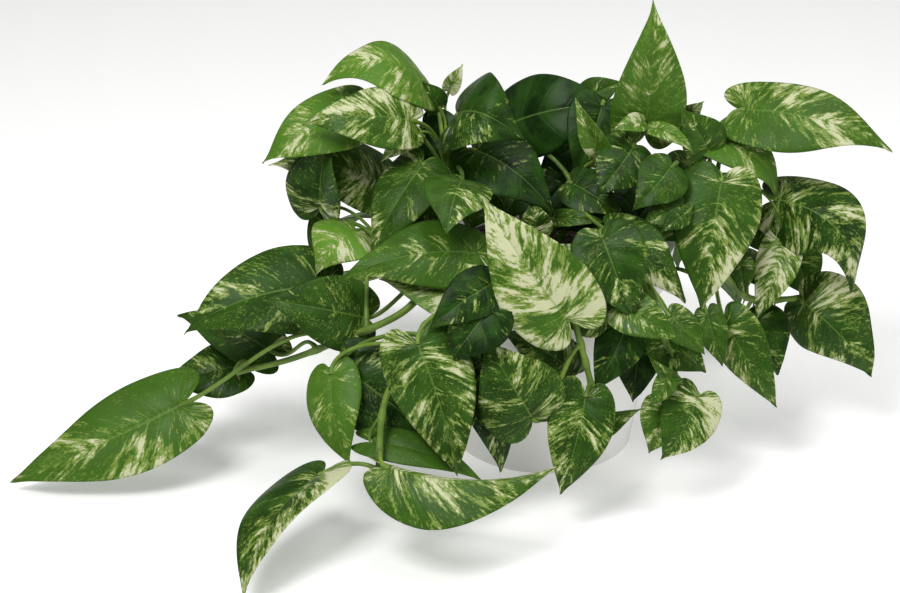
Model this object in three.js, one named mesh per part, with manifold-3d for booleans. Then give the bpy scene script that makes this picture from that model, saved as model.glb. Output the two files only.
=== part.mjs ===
// A potted pothos: variegated leaves on trailing stems, soil, and a plain tapered pot.
// Millimetres, +Z up. The origin is the middle of the pot's underside, and -Y is the front.
import * as THREE from 'three';
import { mergeVertices } from 'three/addons/utils/BufferGeometryUtils.js';
import Module from 'manifold-3d';

const wasm = await Module();
wasm.setup();

// ---- driving dimensions -------------------------------------------------------------
const POT = { height: 120, rimRadius: 70, footRadius: 50, wall: 4, floor: 5, rimHeight: 22, rimStep: 3 };
const DRAIN = { radius: 5, ring: 26, count: 4 };
const SOIL = { top: 104, mound: 3 };
const GAP = 0.35;   // clear space between pieces that touch
const ROUND_STEPS = 32;
const BLADE = { thickness: 1, stepsAlong: 7, stepsAcross: 2, lobe: 0.2, lobePower: 6 };
const STEM = { radius: 2.4, steps: 10, sides: 5 };
const STALK = { radius: 1.2, steps: 4, sides: 4, rise: 0.3, run: 0.35, short: 1 };

// ---- the stems: each is a smooth line through points chosen by hand -----------------
const STEMS = {
  crown_left: [[-30, 5, 92], [-40, 8, 118], [-50, 9, 140], [-54, 8, 156]],
  crown_middle: [[6, 14, 92], [10, 12, 118], [14, 10, 140], [20, 10, 156]],
  crown_right: [[34, 10, 92], [58, 12, 122], [80, 8, 140], [92, 4, 152]],
  left_high: [[-38, -14, 92], [-52, -22, 124], [-72, -28, 130], [-90, -26, 126]],
  left_long: [
    [-28, -28, 92], [-44, -46, 126], [-54, -56, 127], [-76, -72, 108], [-108, -70, 91], [-138, -56, 72],
    [-165, -58, 66],
  ],
  left_low: [
    [-12, -36, 92], [-24, -58, 127], [-34, -70, 127], [-62, -96, 110], [-84, -108, 78], [-88, -128, 46],
  ],
  front: [[4, -34, 92], [4, -58, 127], [5, -74, 126], [12, -84, 106], [18, -86, 84], [24, -86, 60]],
  front_right: [
    [26, -28, 92], [38, -50, 126], [46, -64, 126], [56, -76, 104], [62, -80, 80], [67, -82, 66],
  ],
  right_low: [[38, -6, 92], [62, -14, 126], [76, -18, 126], [94, -26, 108], [112, -14, 88], [140, 0, 82]],
  back_left: [[-22, 28, 92], [-36, 52, 127], [-46, 64, 127], [-60, 76, 114], [-70, 84, 98]],
  back_left_low: [[-8, 34, 92], [-14, 60, 127], [-20, 74, 127], [-36, 92, 106], [-62, 106, 78], [-92, 112, 46]],
  back_right: [[20, 30, 92], [34, 52, 127], [44, 64, 127], [56, 76, 114], [62, 84, 100]],
  back_right_low: [[6, 34, 92], [12, 60, 127], [18, 74, 127], [34, 92, 104], [56, 102, 78], [78, 102, 52]],
};

// ---- the leaves ---------------------------------------------------------------------
// name, stem, share along the stem where its stalk starts, base (where the blade meets the stalk), tip,
// facing (where the upper side looks), width, arch (bow of the midrib), fold (degrees; halves rise or hang).
function leaf(name, stem, at, base, tip, facing, width, arch, fold) {
  return { name, stem, at, base, tip, facing, width, arch, fold };
}

// These leaves are pieces of their own.
const LEAVES = [
  leaf('a1', 'crown_left', 1, [-67, 20, 202], [-120, 10, 203], [0, -4, 9], 44, 0.28, -15),
  leaf('a2', 'crown_left', 0.9, [-102, 8, 189], [-153, -5, 165], [-1, -6, 7], 40, 0.12, -5),
  leaf('a3', 'crown_left', 0.95, [-73, -8, 189], [-129, -15, 190], [0, -8, 6], 34, 0.16, -5),
  leaf('b1', 'crown_left', 0.98, [-48, -4, 191], [-12, -22, 182], [-2, -8, 6], 46, 0.5, 0),
  leaf('b2', 'crown_middle', 0.8, [-18, 45, 168], [42, 40, 180], [-1, -8, 6], 47, 0.22, 0),
  leaf('b4', 'crown_left', 0.91, [-38, -5, 171], [3, -25, 143], [3, -7, 6], 42, 0.18, -5),
  leaf('c1', 'left_high', 1, [-122, 0, 136], [-115, 0, 184], [-5, -8, 1], 38, 0.1, 25),
  leaf('c2', 'left_high', 0.75, [-88, 18, 143], [-150, 12, 157], [0, -6, 8], 44, 0.16, -5),
  leaf('c3', 'left_long', 0.58, [-103, -22, 132], [-123, -38, 114], [-3, -7, 6], 38, 0.3, -10),
  leaf('d1', 'crown_left', 0.85, [-67, -15, 166], [-94, -38, 124], [-5, -8, 4], 36, 0.12, -5),
  leaf('d2', 'crown_left', 0.88, [-46, -36, 166], [-54, -72, 151], [0, -7, 8], 36, 0.12, -5),
  leaf('d3', 'left_low', 0.2, [-38, -56, 134], [-108, -72, 127], [0, -6, 8], 42, 0.12, 0),
  leaf('d4', 'left_low', 0.3, [-28, -78, 116], [-89, -66, 125], [1, -7, 6], 34, 0.05, 0),
  leaf('i1', 'left_long', 0.66, [-196, -60, 47], [-288, -72, 7], [0, -7, 7], 49, 0.02, -3),
  leaf('i2', 'left_long', 1, [-167, -24, 52], [-208, -24, 40], [0, -6, 8], 34, 0.12, 0),
  leaf('i3', 'left_long', 0.75, [-150, -28, 64], [-203, 0, 72], [-1, -4, 9], 34, 0.1, 0),
  leaf('i4', 'left_long', 0.4, [-118, -40, 108], [-193, -55, 88], [0, -6, 8], 54, 0.12, 0),
  leaf('i5', 'left_long', 0.35, [-97, -66, 102], [-147, -76, 117], [1, -8, 6], 40, 0.06, 0),
  leaf('h1', 'left_low', 0.5, [-68, -106, 106], [-48, -126, 41], [0, -9, 4], 50, 0.08, -10),
  leaf('h2', 'left_low', 0.6, [-104, -88, 82], [-48, -103, 38], [-2, -8, 6], 44, 0.08, 0),
  leaf('h4', 'left_low', 0.95, [-82, -142, 56], [1, -148, 58], [0, -6, 8], 40, 0.02, -8),
  leaf('h5', 'left_low', 1, [-119, -126, 42], [-154, -192, 11], [-5, -3, 8], 42, 0.1, 10),
  leaf('h6', 'left_low', 0.65, [-113, -92, 82], [-103, -117, 42], [-3, -8, 4], 32, 0.1, -5),
  leaf('l1', 'front', 0.42, [-32, -96, 121], [-53, -108, 96], [0, -8, 5], 32, 0.1, 0),
  leaf('l2', 'front', 0.6, [-37, -90, 90], [-25, -100, 28], [4, -8, 3], 34, 0.08, 0),
  leaf('l5', 'front', 0.72, [-10, -106, 64], [-35, -96, 104], [-1, -9, 4], 46, 0.1, 0),
  leaf('g12', 'front', 0.9, [17, -100, 73], [4, -114, 23], [-1, -9, 4], 34, 0.08, 0),
  leaf('e1', 'front', 0.48, [7, -94, 114], [-36, -76, 173], [-1, -9, 4], 48, 0.06, 0),
  leaf('e2', 'front', 0.4, [29, -76, 112], [-3, -54, 138], [1, -8, 6], 45, 0.1, 0),
  leaf('e3', 'crown_middle', 0.5, [32, -35, 137], [71, -60, 108], [2, -7, 7], 34, 0.15, 0),
  leaf('g2', 'front_right', 0.35, [33, -82, 117], [65, -95, 103], [0, -8, 6], 24, 0.1, 0),
  leaf('g6', 'front_right', 0.4, [39, -75, 101], [22, -88, 70], [0, -8, 5], 26, 0.1, 0),
  leaf('g10', 'front_right', 0.9, [59, -88, 62], [51, -98, 39], [0, -9, 4], 24, 0.1, 0),
  leaf('g11', 'front_right', 1, [76, -88, 67], [57, -101, 36], [2, -9, 4], 33, 0.1, 0),
  leaf('j1', 'crown_middle', 0.9, [52, 10, 177], [54, 5, 249], [0, -9, 2], 35, 0.05, 10),
  leaf('j4', 'crown_middle', 0.95, [30, 22, 186], [15, 8, 150], [0, -9, 3], 33, 0.1, 0),
  leaf('j8', 'crown_middle', 0.85, [45, -4, 172], [25, -22, 152], [0, -8, 6], 34, 0.1, 0),
  leaf('j9', 'crown_right', 0.5, [64, -18, 166], [44, -32, 148], [0, -8, 6], 28, 0.1, 0),
  leaf('f1', 'crown_right', 0.9, [91, -18, 158], [81, -46, 96], [0, -9, 4], 48, 0.08, -8),
  leaf('f2', 'crown_right', 0.98, [107, 20, 185], [186, 2, 170], [0, -6, 8], 46, 0.1, -4),
  leaf('f3', 'crown_right', 0.95, [90, 12, 170], [126, 2, 137], [5, -5, 7], 32, 0.22, 0),
  leaf('f4', 'crown_right', 1, [125, 0, 141], [166, -24, 97], [3, -6, 7], 44, 0.33, 0),
  leaf('f5', 'right_low', 1, [142, -6, 82], [180, -20, 44], [1, -8, 5], 48, 0.16, 0),
  leaf('f11', 'right_low', 0.5, [95, -40, 86], [123, -55, 43], [-2, -8, 5], 31, 0.08, 0),
  leaf('f12', 'right_low', 0.8, [112, -5, 70], [129, -15, 42], [0, -9, 4], 34, 0.1, 0),
];

// These smaller and hidden leaves are one piece with their stem.
const JOINED_LEAVES = [
  leaf('b3', 'crown_left', 0.7, [-66, 20, 174], [-42, 10, 146], [-2, -8, 4], 34, 0.08, -4),
  leaf('c4', 'left_high', 0.98, [-120, 8, 124], [-110, 5, 80], [-6, -8, 0], 22, 0.1, 15),
  leaf('h3', 'left_low', 0.85, [-91, -112, 54], [-34, -118, 34], [0, -5, 8], 20, 0.12, 0),
  leaf('l4', 'front', 0.8, [12, -78, 76], [-26, -82, 102], [2, -6, 7], 34, 0.1, 0),
  leaf('g7', 'front_right', 0.55, [47, -68, 87], [44, -75, 57], [0, -9, 3], 24, 0.1, 0),
  leaf('k1', 'crown_middle', 0.6, [14, 0, 150], [40, -15, 137], [0, -8, 6], 26, 0.1, 0),
  leaf('f6', 'right_low', 0.9, [136, 25, 102], [151, 20, 72], [0, -9, 4], 30, 0.1, 0),
  leaf('f7', 'right_low', 0.7, [128, -10, 120], [113, -25, 80], [-3, -8, 3], 24, 0.1, 0),
  leaf('r1', 'back_left', 0.75, [-60, 92, 120], [-80, 130, 84], [-1, 6, 8], 46, 0.12, 0),
  leaf('r2', 'back_left', 0.6, [-30, 88, 124], [-36, 140, 92], [0, 6, 8], 48, 0.12, 0),
  leaf('r6', 'back_left', 1, [-90, 72, 104], [-124, 106, 66], [-5, 5, 8], 46, 0.12, 0),
  leaf('r7', 'back_left_low', 0.75, [-72, 108, 80], [-82, 148, 42], [0, 8, 5], 44, 0.1, 0),
  leaf('r8', 'back_left_low', 0.6, [-40, 104, 82], [-36, 148, 40], [1, 8, 5], 44, 0.1, 0),
  leaf('r12', 'back_left_low', 1, [-104, 118, 44], [-122, 152, 8], [-3, 7, 6], 40, 0.08, 0),
  leaf('r3', 'back_right', 0.6, [6, 92, 122], [8, 140, 84], [0, 6, 8], 46, 0.12, 0),
  leaf('r4', 'back_right', 0.75, [44, 96, 118], [54, 138, 84], [1, 6, 8], 44, 0.12, 0),
  leaf('r5', 'back_right', 1, [74, 78, 110], [104, 112, 78], [5, 5, 8], 46, 0.12, 0),
  leaf('r9', 'back_right_low', 0.85, [76, 108, 74], [90, 146, 36], [2, 8, 5], 42, 0.1, 0),
  leaf('r10', 'back_right_low', 0.6, [28, 112, 76], [22, 156, 38], [0, 8, 5], 44, 0.1, 0),
  leaf('r11', 'back_right_low', 1, [92, 92, 56], [126, 116, 22], [5, 6, 6], 40, 0.1, 0),
];

// ---- solids -------------------------------------------------------------------------
function solidFrom(geometry) {
  geometry.deleteAttribute('normal');
  geometry.deleteAttribute('uv');
  const merged = mergeVertices(geometry, 1e-4);
  const vertProperties = new Float32Array(merged.attributes.position.array);
  const triVerts = new Uint32Array(merged.index.array);
  return new wasm.Manifold(new wasm.Mesh({ numProp: 3, vertProperties, triVerts }));
}

function meshFrom(solid, name, material) {
  const { vertProperties, triVerts } = solid.getMesh();
  const geometry = new THREE.BufferGeometry();
  geometry.setAttribute('position', new THREE.BufferAttribute(new Float32Array(vertProperties), 3));
  geometry.setIndex(new THREE.BufferAttribute(new Uint32Array(triVerts), 1));
  geometry.computeVertexNormals();
  const mesh = new THREE.Mesh(geometry, material);
  mesh.name = name;
  return mesh;
}

// The largest of the bodies that a cut leaves.
function mainBody(solid) {
  const bodies = solid.decompose();
  bodies.sort((first, second) => second.volume() - first.volume());
  return bodies[0];
}

function tube(curve, radius, steps, sides) {
  const section = new THREE.Shape();
  section.absarc(0, 0, radius, 0, 2 * Math.PI);
  const points = section.getSpacedPoints(sides).slice(0, sides);
  const geometry = new THREE.ExtrudeGeometry(new THREE.Shape(points), { steps, extrudePath: curve });
  return solidFrom(geometry);
}

// ---- the blade of a leaf ------------------------------------------------------------
// Half width along the blade, as shares of its length and of half its width.
const OUTLINE = [
  [0, 0.46], [0.05, 0.78], [0.14, 0.95], [0.28, 1], [0.45, 0.9], [0.62, 0.7], [0.8, 0.38], [0.92, 0.15],
  [1, 0.03],
];
const OUTLINE_STEPS = 80;
const outlineMarks = OUTLINE.map(([along, half]) => new THREE.Vector3(along, half, 0));
const outlineCurve = new THREE.CatmullRomCurve3(outlineMarks);
const outlinePoints = outlineCurve.getPoints(OUTLINE_STEPS);

function halfWidth(along) {
  if (along <= 0) return OUTLINE[0][1];
  const next = outlinePoints.findIndex((point) => point.x >= along - 1e-6);
  const before = outlinePoints[next - 1];
  const after = outlinePoints[next];
  return THREE.MathUtils.mapLinear(along, before.x, after.x, before.y, after.y);
}

function leafFrame(leaf) {
  const base = new THREE.Vector3(...leaf.base);
  const along = new THREE.Vector3(...leaf.tip).sub(base);
  const length = along.length();
  along.divideScalar(length);
  const up = new THREE.Vector3(...leaf.facing);
  up.addScaledVector(along, -up.dot(along)).normalize();
  const across = new THREE.Vector3().crossVectors(up, along);
  return { base, along, across, up, length };
}

// A point of the blade: share 0..1 from base to tip, side -1..1 from the right to the left edge.
function bladePoint(leaf, frame, share, side, lift) {
  const lobes = BLADE.lobe * (1 - share) ** BLADE.lobePower * Math.sin((Math.PI / 2) * Math.abs(side));
  const x = share - lobes;
  const slope = Math.atan(4 * leaf.arch * (1 - 2 * x));
  const reach = (Math.abs(side) * halfWidth(share) * leaf.width) / 2;
  const fold = THREE.MathUtils.degToRad(leaf.fold);
  const rise = reach * Math.sin(fold) + lift;
  return frame.base.clone()
    .addScaledVector(frame.along, x * frame.length - rise * Math.sin(slope))
    .addScaledVector(frame.up, 4 * leaf.arch * x * (1 - x) * frame.length + rise * Math.cos(slope))
    .addScaledVector(frame.across, Math.sign(side) * reach * Math.cos(fold));
}

function bladeSolid(leaf, margin) {
  const frame = leafFrame(leaf);
  frame.base.addScaledVector(frame.along, -margin);
  frame.length += 2 * margin;
  const rows = BLADE.stepsAlong + 1;
  const columns = BLADE.stepsAcross + 1;
  const wide = { ...leaf, width: leaf.width + 2 * margin };
  const positions = [];
  for (const lift of [BLADE.thickness / 2 + margin, -BLADE.thickness / 2 - margin]) {
    for (let row = 0; row < rows; row += 1) {
      for (let column = 0; column < columns; column += 1) {
        const side = (2 * column) / BLADE.stepsAcross - 1;
        positions.push(...bladePoint(wide, frame, row / BLADE.stepsAlong, side, lift).toArray());
      }
    }
  }
  const faces = [];
  const sheet = rows * columns;
  const quad = (a, b, c, d) => faces.push(a, b, c, a, c, d);
  for (let row = 0; row < rows - 1; row += 1) {
    for (let column = 0; column < columns - 1; column += 1) {
      const corner = row * columns + column;
      quad(corner, corner + columns, corner + columns + 1, corner + 1);
      quad(sheet + corner, sheet + corner + 1, sheet + corner + columns + 1, sheet + corner + columns);
    }
  }
  const rim = [];
  for (let column = 0; column < columns; column += 1) rim.push(column);
  for (let row = 1; row < rows; row += 1) rim.push(row * columns + columns - 1);
  for (let column = columns - 2; column >= 0; column -= 1) rim.push((rows - 1) * columns + column);
  for (let row = rows - 2; row > 0; row -= 1) rim.push(row * columns);
  rim.forEach((corner, step) => {
    const next = rim[(step + 1) % rim.length];
    quad(corner, next, sheet + next, sheet + corner);
  });
  const geometry = new THREE.BufferGeometry();
  geometry.setAttribute('position', new THREE.Float32BufferAttribute(positions, 3));
  geometry.setIndex(faces);
  return solidFrom(geometry);
}

// ---- stems and leaf stalks ----------------------------------------------------------
const stemCurves = {};
for (const [name, points] of Object.entries(STEMS)) {
  stemCurves[name] = new THREE.CatmullRomCurve3(points.map((point) => new THREE.Vector3(...point)));
}

function stalkCurve(leaf) {
  const frame = leafFrame(leaf);
  const start = stemCurves[leaf.stem].getPointAt(leaf.at);
  const reach = start.distanceTo(frame.base);
  const arrival = frame.along.clone().addScaledVector(frame.up, 4 * leaf.arch).normalize();
  const lifted = start.clone().lerp(frame.base, STALK.rise);
  lifted.z += STALK.rise * reach;
  const before = frame.base.clone().addScaledVector(arrival, -STALK.run * reach);
  const end = frame.base.clone().addScaledVector(arrival, -STALK.short);
  return new THREE.CubicBezierCurve3(start, lifted, before, end);
}

function stemSolid(name, margin) {
  let solid = tube(stemCurves[name], STEM.radius + margin, STEM.steps, STEM.sides);
  for (const leaf of [...LEAVES, ...JOINED_LEAVES].filter((entry) => entry.stem === name)) {
    solid = solid.add(tube(stalkCurve(leaf), STALK.radius + margin, STALK.steps, STALK.sides));
  }
  for (const leaf of JOINED_LEAVES.filter((entry) => entry.stem === name)) {
    solid = solid.add(bladeSolid(leaf, margin));
  }
  return solid;
}

// ---- pot and soil -------------------------------------------------------------------
function lathe(profile, segments) {
  const points = profile.map(([radius, height]) => new THREE.Vector2(radius, height));
  return new THREE.LatheGeometry(points, segments).rotateX(Math.PI / 2);
}

function innerRadius(height) {
  const outer = THREE.MathUtils.mapLinear(height, 0, POT.height, POT.footRadius, POT.rimRadius - POT.rimStep);
  return outer - POT.wall;
}

function potSolid() {
  const { height, rimRadius, footRadius, floor, rimHeight, rimStep } = POT;
  const collar = height - rimHeight;
  const bodyRadius = (level) => innerRadius(level) + POT.wall;
  const profile = [
    [0, 0], [footRadius, 0], [bodyRadius(collar), collar], [bodyRadius(collar) + rimStep, collar],
    [rimRadius, height], [innerRadius(height), height], [innerRadius(floor), floor], [0, floor],
  ];
  let solid = solidFrom(lathe(profile, ROUND_STEPS));
  for (let hole = 0; hole < DRAIN.count; hole += 1) {
    const angle = (2 * Math.PI * hole) / DRAIN.count + Math.PI / 4;
    const drill = new THREE.CylinderGeometry(DRAIN.radius, DRAIN.radius, 4 * floor, 12);
    drill.rotateX(Math.PI / 2).translate(DRAIN.ring * Math.cos(angle), DRAIN.ring * Math.sin(angle), 0);
    solid = solid.subtract(solidFrom(drill));
  }
  return solid;
}

function soilSolid(stems) {
  const foot = POT.floor + GAP;
  const profile = [
    [0, foot], [innerRadius(foot) - GAP, foot], [innerRadius(SOIL.top) - GAP, SOIL.top],
    [0, SOIL.top + SOIL.mound],
  ];
  let solid = solidFrom(lathe(profile, ROUND_STEPS));
  for (const stem of stems) solid = solid.subtract(stem);
  return solid;
}

// ---- materials ----------------------------------------------------------------------
const materials = {
  pot: new THREE.MeshStandardMaterial({ color: 0xefece4, roughness: 0.45, metalness: 0 }),
  soil: new THREE.MeshStandardMaterial({ color: 0x2e241c, roughness: 0.95, metalness: 0 }),
  stem: new THREE.MeshStandardMaterial({ color: 0x7d9c48, roughness: 0.5, metalness: 0 }),
  leaf: new THREE.MeshStandardMaterial({ color: 0x3f7a2a, roughness: 0.35, metalness: 0 }),
};

// ---- assembly -----------------------------------------------------------------------
const plant = new THREE.Group();
plant.add(meshFrom(potSolid(), 'pot', materials.pot));
const wideStems = Object.keys(STEMS).map((name) => stemSolid(name, GAP));
plant.add(meshFrom(soilSolid(wideStems), 'soil', materials.soil));
Object.keys(STEMS).forEach((name, order) => {
  let solid = stemSolid(name, 0);
  for (const earlier of wideStems.slice(0, order)) solid = solid.subtract(earlier);
  plant.add(meshFrom(mainBody(solid), `stem_${name}`, materials.stem));
});
const placed = [];
for (const leaf of LEAVES) {
  let solid = bladeSolid(leaf, 0);
  for (const stem of wideStems) solid = solid.subtract(stem);
  for (const other of placed) solid = solid.subtract(other);
  placed.push(bladeSolid(leaf, GAP));
  plant.add(meshFrom(mainBody(solid), `leaf_${leaf.name}`, materials.leaf));
}

export default plant;
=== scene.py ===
# %% [markdown]
# # A potted pothos
# This lesson dresses the plain solids of a potted pothos: a tapered white pot, soil, trailing
# stems and about a hundred heart-shaped leaves marbled with cream. The solids fix where the larger
# leaves lie. Here each one gets its veins, its waxy shine and its marbling, and small leaves fill
# the gaps between them.

# %% Load the solids
import contextlib
import math
import random

import bpy
import numpy as np
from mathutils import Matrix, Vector, noise as lumps


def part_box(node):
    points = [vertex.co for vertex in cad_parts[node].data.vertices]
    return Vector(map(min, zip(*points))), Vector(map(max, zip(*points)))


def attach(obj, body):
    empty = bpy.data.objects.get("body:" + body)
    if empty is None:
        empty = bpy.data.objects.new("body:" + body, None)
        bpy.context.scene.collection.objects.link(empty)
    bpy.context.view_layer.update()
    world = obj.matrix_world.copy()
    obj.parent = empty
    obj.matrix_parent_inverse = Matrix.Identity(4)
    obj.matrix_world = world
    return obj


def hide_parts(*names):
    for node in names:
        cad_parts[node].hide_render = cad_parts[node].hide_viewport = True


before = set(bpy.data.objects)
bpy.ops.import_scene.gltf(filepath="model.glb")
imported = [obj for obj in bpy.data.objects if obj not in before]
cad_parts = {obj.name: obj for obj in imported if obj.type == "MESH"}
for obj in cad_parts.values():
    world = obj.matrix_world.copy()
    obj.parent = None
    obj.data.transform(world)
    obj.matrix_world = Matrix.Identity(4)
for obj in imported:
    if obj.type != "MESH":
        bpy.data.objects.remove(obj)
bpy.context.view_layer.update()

MM = 0.001
BODY = "root"
print("solids:", len(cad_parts))


# %% [markdown]
# ## Small helpers
# An operator works on everything that is selected, and the solids are still selected after
# loading. So each step clears the selection first and picks the one object it works on.
# Materials are built from shader nodes, and short helpers keep each formula on one line.

# %% Choosing and finishing
def clear_selection():
    bpy.ops.object.select_all(action="DESELECT")


def choose(piece):
    """Make this object the only selected and active one."""
    clear_selection()
    piece.select_set(True)
    bpy.context.view_layer.objects.active = piece


def add_object(name, data):
    piece = bpy.data.objects.new(name, data)
    bpy.context.collection.objects.link(piece)
    return piece


def apply_modifiers(piece):
    """Turn the modifiers into mesh, in their order."""
    choose(piece)
    for modifier in list(piece.modifiers):
        bpy.ops.object.modifier_apply(modifier=modifier.name)


@contextlib.contextmanager
def editing(piece):
    """Edit mode with the whole mesh selected, for the lines that follow."""
    choose(piece)
    bpy.ops.object.mode_set(mode="EDIT")
    bpy.ops.mesh.select_all(action="SELECT")
    yield
    bpy.ops.object.mode_set(mode="OBJECT")


def join(pieces, name):
    """Join several objects into the first of them."""
    choose(pieces[0])
    for piece in pieces:
        piece.select_set(True)
    bpy.ops.object.join()
    pieces[0].name = name
    return pieces[0]


def store_numbers(mesh, name, values):
    """Give every point of the mesh a number of its own."""
    mesh.attributes.new(name, "FLOAT", "POINT").data.foreach_set("value", values)


def read_places(mesh):
    places = np.empty(len(mesh.vertices) * 3)
    mesh.vertices.foreach_get("co", places)
    return places.reshape(-1, 3)


def hand_over(piece, slot, *nodes):
    """Say which body the piece rides on and the solids that it stands for. Its finish, slot, is not
    used.
    """
    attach(piece, BODY)
    if nodes:
        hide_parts(*nodes)


clear_selection()
print("selected:", len(bpy.context.selected_objects))


# %% Joining up shader nodes
def add_node(tree, kind, inputs=None, **settings):
    """Add a node; an input is given a value, or a socket to be linked to."""
    node = tree.nodes.new(kind)
    for setting, value in settings.items():
        setattr(node, setting, value)
    for socket, value in (inputs or {}).items():
        if isinstance(value, bpy.types.NodeSocket):
            tree.links.new(value, node.inputs[socket])
        else:
            node.inputs[socket].default_value = value
    return node


def maths(tree, operation, *values):
    """One Math node; MULTIPLY_ADD is first times second plus third."""
    return add_node(tree, "ShaderNodeMath", dict(enumerate(values)), operation=operation).outputs[0]


def ramp_up(tree, value, low, high):
    """0 below low, 1 above high, and a smooth step between them."""
    step = add_node(
        tree, "ShaderNodeMapRange", {"Value": value, "From Min": low, "From Max": high},
        interpolation_type="SMOOTHSTEP",
    )
    return step.outputs[0]


def blend_colours(tree, share, first, second):
    mix = add_node(tree, "ShaderNodeMix", {0: share, 6: first, 7: second}, data_type="RGBA")
    return mix.outputs[2]


def noise(tree, place, scale, detail=3.0, roughness=0.5, distortion=0.0):
    texture = add_node(tree, "ShaderNodeTexNoise", {
        "Vector": place, "Scale": scale, "Detail": detail, "Roughness": roughness,
        "Distortion": distortion,
    })
    return texture.outputs["Fac"]


def new_group(name, inputs, outputs):
    """An empty node group with named float or colour sockets."""
    group = bpy.data.node_groups.new(name, "ShaderNodeTree")
    for title, kind in inputs:
        group.interface.new_socket(name=title, in_out="INPUT", socket_type=kind)
    for title, kind in outputs:
        group.interface.new_socket(name=title, in_out="OUTPUT", socket_type=kind)
    return group, group.nodes.new("NodeGroupInput"), group.nodes.new("NodeGroupOutput")


def new_material(name):
    material = bpy.data.materials.new(name)
    material.use_nodes = True
    return material, material.node_tree, material.node_tree.nodes["Principled BSDF"]


def own_number(tree, name):
    """A number that the mesh carries at each of its points."""
    return add_node(tree, "ShaderNodeAttribute", attribute_name=name).outputs["Fac"]


def own_place(tree):
    return add_node(tree, "ShaderNodeTexCoord").outputs["Object"]


def paint(tree, shader, colour, roughness):
    tree.links.new(colour, shader.inputs["Base Color"])
    tree.links.new(roughness, shader.inputs["Roughness"])


def set_bump(tree, shader, height, strength, distance):
    bump = add_node(tree, "ShaderNodeBump", {
        "Height": height, "Strength": strength, "Distance": distance,
    })
    tree.links.new(bump.outputs[0], shader.inputs["Normal"])


print("shader helpers ready")


# %% [markdown]
# ## The camera, the light and the floor
# A plant in a studio stands under large soft lamps on a pale sheet. A long lens keeps the leaves
# from bulging towards the viewer, and the camera looks down on the plant from in front. Small
# hard lamps would show every fold, but they would put white dots on waxy leaves, so the lamps are
# wide squares. The floor glows a little and throws light up under the leaves.

# %% Camera
ELEVATION = math.radians(25)
AIM = Vector((-0.052, 0.0, 0.083))
LENS_MM = 85
CAMERA_DISTANCE = 1.169

towards_camera = Vector((0, -math.cos(ELEVATION), math.sin(ELEVATION)))
bpy.ops.object.camera_add(
    location=AIM + towards_camera * CAMERA_DISTANCE,
    rotation=(math.pi / 2 - ELEVATION, 0, 0),
)
camera = bpy.context.object
camera.name = "camera"
camera.data.lens = LENS_MM
bpy.context.scene.camera = camera
print("camera stands", round(camera.location.length, 2), "m from the pot")


# %% Lamps
LAMP_AIM = Vector((-0.05, 0, 0.1))


def area_lamp(name, place, size, watts):
    """A soft square lamp that faces the middle of the plant."""
    bpy.ops.object.light_add(type="AREA", location=place)
    lamp = bpy.context.object
    lamp.name = name
    lamp.rotation_euler = (LAMP_AIM - Vector(place)).to_track_quat("-Z", "Y").to_euler()
    lamp.data.size = size
    lamp.data.energy = watts


area_lamp("key_lamp", (-0.5, -0.8, 1.3), 0.5, 15)
area_lamp("top_lamp", (0.25, -0.1, 1.5), 0.9, 10)
area_lamp("side_lamp", (1.2, -0.7, 0.6), 0.9, 4)
print("lamps:", len(bpy.data.lights))


# %% The sky
# It gives little light, but where the camera sees it, it is as pale as the far floor.
SKY_LIGHT = 0.27
SKY_EXTRA_WHEN_SEEN = 0.23

world = bpy.data.worlds.new("studio")
world.use_nodes = True
sky = world.node_tree
background = sky.nodes["Background"]
background.inputs["Color"].default_value = (1, 1, 1, 1)
seen = add_node(sky, "ShaderNodeLightPath").outputs["Is Camera Ray"]
strength = maths(sky, "MULTIPLY_ADD", seen, SKY_EXTRA_WHEN_SEEN, SKY_LIGHT)
sky.links.new(strength, background.inputs["Strength"])
bpy.context.scene.world = world
bpy.context.scene.view_settings.view_transform = "Standard"
print("sky strength:", SKY_LIGHT)


# %% The floor
FLOOR_SIZE = 40
FLOOR_GLOW = 0.25

bpy.ops.mesh.primitive_plane_add(size=FLOOR_SIZE, location=(0, 0, 0))
floor = bpy.context.object
floor.name = "floor"
floor_paint, _, floor_shader = new_material("floor_paint")
floor_shader.inputs["Base Color"].default_value = (0.9, 0.9, 0.89, 1)
floor_shader.inputs["Roughness"].default_value = 0.7
floor_shader.inputs["Emission Color"].default_value = (1, 1, 1, 1)
floor_shader.inputs["Emission Strength"].default_value = FLOOR_GLOW
floor.data.materials.append(floor_paint)
print("floor:", FLOOR_SIZE, "m wide")
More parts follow.
